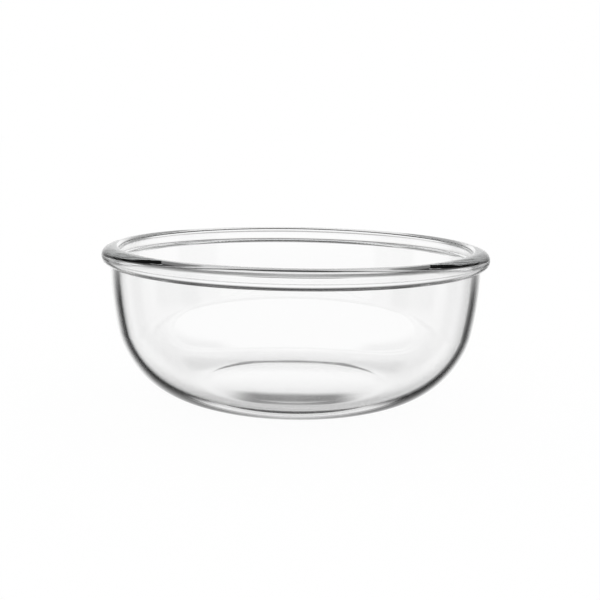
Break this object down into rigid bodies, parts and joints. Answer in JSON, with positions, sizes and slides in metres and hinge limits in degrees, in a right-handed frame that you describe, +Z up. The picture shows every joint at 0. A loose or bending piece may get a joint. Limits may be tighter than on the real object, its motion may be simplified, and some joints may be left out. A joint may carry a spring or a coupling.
{
  "type": "glass mixing bowl",
  "caption": "Round clear-glass mixing bowl with a rolled rim, a gently curved side, a deep rounded corner and a flat floor on a low foot ring, for mixing and serving food.",
  "frame": {"origin": "centre of the foot, on the surface that the bowl stands on", "axes": "+Z up along the axis of the bowl; X and Y lie in the surface that it stands on, and the bowl looks the same from every side"},
  "size_m": [0.21, 0.21, 0.083],
  "materials": {
    "glass": "clear, fire-polished"
  },
  "bodies": {
    "root": {"bowl": "glass"}
  },
  "joints": []
}
